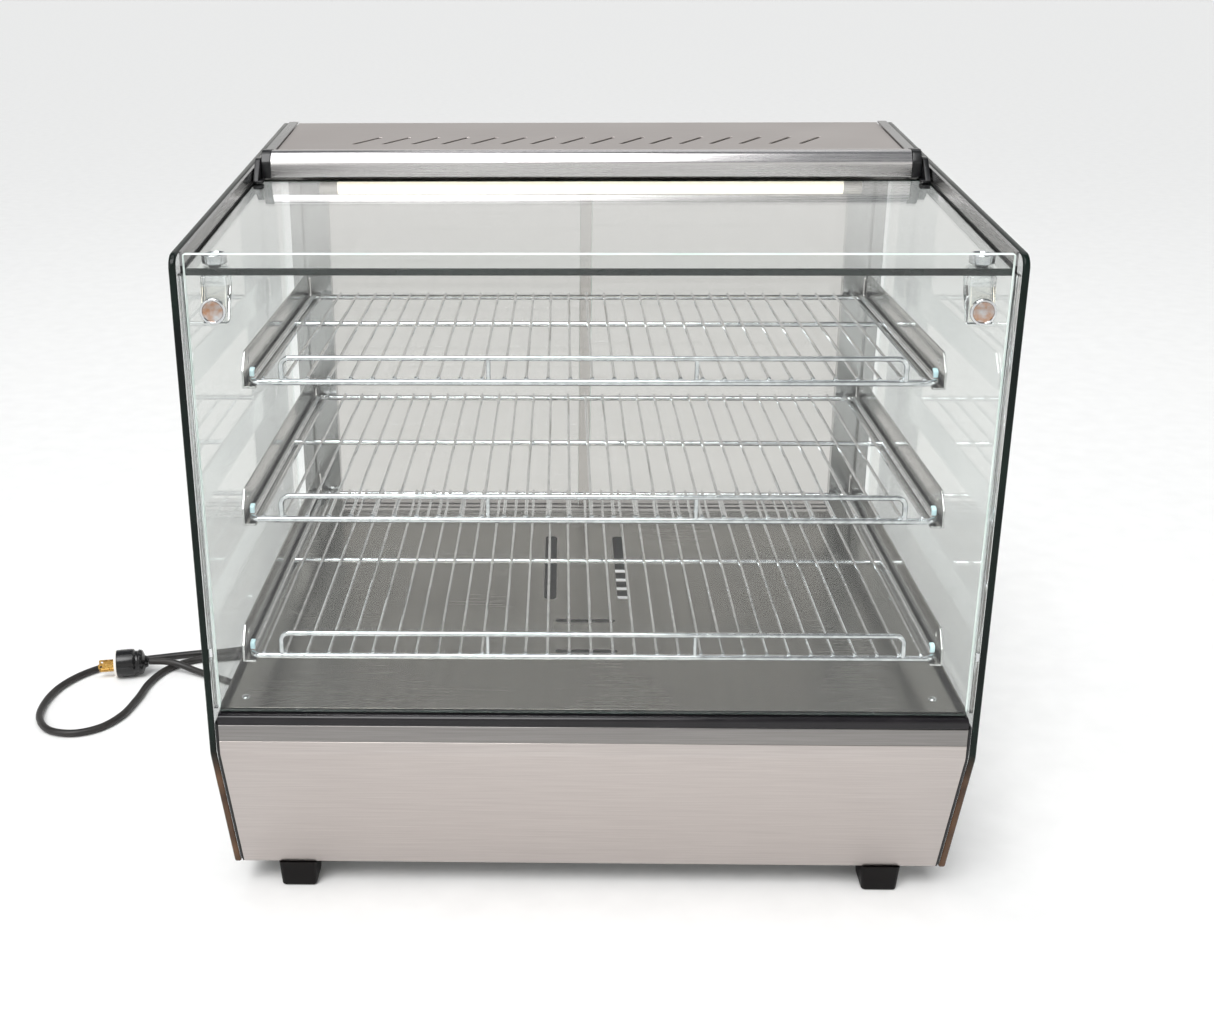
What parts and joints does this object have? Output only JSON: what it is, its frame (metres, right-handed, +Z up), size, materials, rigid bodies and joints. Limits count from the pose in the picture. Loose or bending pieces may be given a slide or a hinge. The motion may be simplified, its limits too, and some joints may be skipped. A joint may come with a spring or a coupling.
{
  "type": "hot food display case",
  "caption": "Countertop heated glass showcase with a lift-up front and top glass, wire shelves on cantilever arms, sliding rear doors and a heated base with a mains lead.",
  "frame": {"origin": "centre of the case's footprint, on the surface it stands on", "axes": "+Z up, the front glass faces -Y, +X is the viewer's right"},
  "size_m": [1.0123, 0.6622, 0.6858],
  "materials": {
    "side_glass": "clear toughened, green edge",
    "front_glass": "clear toughened, green edge",
    "door_glass": "clear acrylic",
    "clear_plastic": "clear moulded",
    "black_panel": "black, satin",
    "bright_steel": "bright annealed stainless steel",
    "gasket_rubber": "black extruded rubber",
    "brushed_steel": "brushed stainless steel",
    "galvanised_steel": "galvanised sheet",
    "ledge_black": "dark anodised, satin",
    "deck_steel": "polished stainless steel",
    "foot_rubber": "black moulded",
    "rail_aluminium": "satin anodised",
    "black_plastic": "black moulded",
    "switch_plastic": "black moulded rocker",
    "lamp_glass": "opal tube",
    "track_aluminium": "mill finish",
    "chrome_wire": "bright chrome plate",
    "element_steel": "heat-tinted sheath",
    "motor_black": "black enamel",
    "fan_aluminium": "plain",
    "control_plastic": "cream moulded",
    "cord_rubber": "black jacket",
    "plug_plastic": "black moulded with pale face"
  },
  "bodies": {
    "case": {"base_pan": "galvanised_steel", "base_side_left": "black_panel", "base_side_right": "black_panel", "ceiling_liner": "deck_steel", "deck_plate": "deck_steel", "door_track_lower": "track_aluminium", "door_track_upper": "track_aluminium", "fan_motor": "motor_black", "foot_front_left": "foot_rubber", "foot_front_right": "foot_rubber", "foot_rear_left": "foot_rubber", "foot_rear_right": "foot_rubber", "front_glass_ledge": "ledge_black", "front_lower_panel": "brushed_steel", "front_seal_left": "clear_plastic", "front_seal_right": "clear_plastic", "front_strip": "brushed_steel", "heating_element": "element_steel", "lamp_tube": "lamp_glass", "mains_plug": "plug_plastic", "power_cord": "cord_rubber", "rail_end_cap_left": "black_plastic", "rail_end_cap_right": "black_plastic", "rear_panel": "brushed_steel", "rear_post_left": "bright_steel", "rear_post_right": "bright_steel", "shelf_arm_bottom_left": "bright_steel", "shelf_arm_bottom_right": "bright_steel", "shelf_arm_middle_left": "bright_steel", "shelf_arm_middle_right": "bright_steel", "shelf_arm_top_left": "bright_steel", "shelf_arm_top_right": "bright_steel", "side_glass_left": "side_glass", "side_glass_right": "side_glass", "side_rail_left": "bright_steel", "side_rail_right": "bright_steel", "strain_relief": "cord_rubber", "terminal_block": "control_plastic", "thermostat": "control_plastic", "top_gasket_left": "gasket_rubber", "top_gasket_right": "gasket_rubber", "top_panel": "brushed_steel", "top_rail": "rail_aluminium"},
    "lift_glass": {"front_glass": "front_glass", "top_glass": "front_glass", "glass_connector_left": "clear_plastic", "glass_connector_right": "clear_plastic", "glass_hinge_left": "black_plastic", "glass_hinge_right": "black_plastic"},
    "door_left": {"rear_door_left": "door_glass", "door_handle_left": "black_plastic"},
    "door_right": {"rear_door_right": "door_glass", "door_handle_right": "black_plastic"},
    "shelf_bottom_body": {"shelf_bottom": "chrome_wire"},
    "shelf_middle_body": {"shelf_middle": "chrome_wire"},
    "shelf_top_body": {"shelf_top": "chrome_wire"},
    "fan": {"fan_impeller": "fan_aluminium"},
    "knob": {"thermostat_knob": "black_plastic"},
    "power_rocker": {"power_switch": "switch_plastic"},
    "light_rocker": {"light_switch": "switch_plastic"}
  },
  "joints": [
    {"name": "lift_glass_hinge", "type": "hinge", "parent": "case", "child": "lift_glass", "pos_m": [0, 0.061, 0.66176], "axis": [-1, 0, 0], "range_deg": [0, 75]},
    {"name": "door_left_slide", "type": "slide", "parent": "case", "child": "door_left", "axis": [1, 0, 0], "range_m": [0, 0.29]},
    {"name": "door_right_slide", "type": "slide", "parent": "case", "child": "door_right", "axis": [-1, 0, 0], "range_m": [0, 0.29]},
    {"name": "shelf_bottom_lift", "type": "slide", "parent": "case", "child": "shelf_bottom_body", "axis": [0, 0, 1], "range_m": [0, 0.04]},
    {"name": "shelf_middle_lift", "type": "slide", "parent": "case", "child": "shelf_middle_body", "axis": [0, 0, 1], "range_m": [0, 0.04]},
    {"name": "shelf_top_lift", "type": "slide", "parent": "case", "child": "shelf_top_body", "axis": [0, 0, 1], "range_m": [0, 0.04]},
    {"name": "fan_spin", "type": "hinge", "parent": "case", "child": "fan", "pos_m": [0, 0.021, 0.1], "axis": [0, 0, 1], "continuous": true},
    {"name": "thermostat_turn", "type": "hinge", "parent": "case", "child": "knob", "pos_m": [-0.15, 0.266, 0.125], "axis": [0, 1, 0], "range_deg": [0, 270]},
    {"name": "power_switch_rock", "type": "hinge", "parent": "case", "child": "power_rocker", "pos_m": [-0.07, 0.266, 0.125], "axis": [1, 0, 0], "range_deg": [0, 16]},
    {"name": "light_switch_rock", "type": "hinge", "parent": "case", "child": "light_rocker", "pos_m": [-0.025, 0.266, 0.125], "axis": [1, 0, 0], "range_deg": [0, 16]}
  ]
}
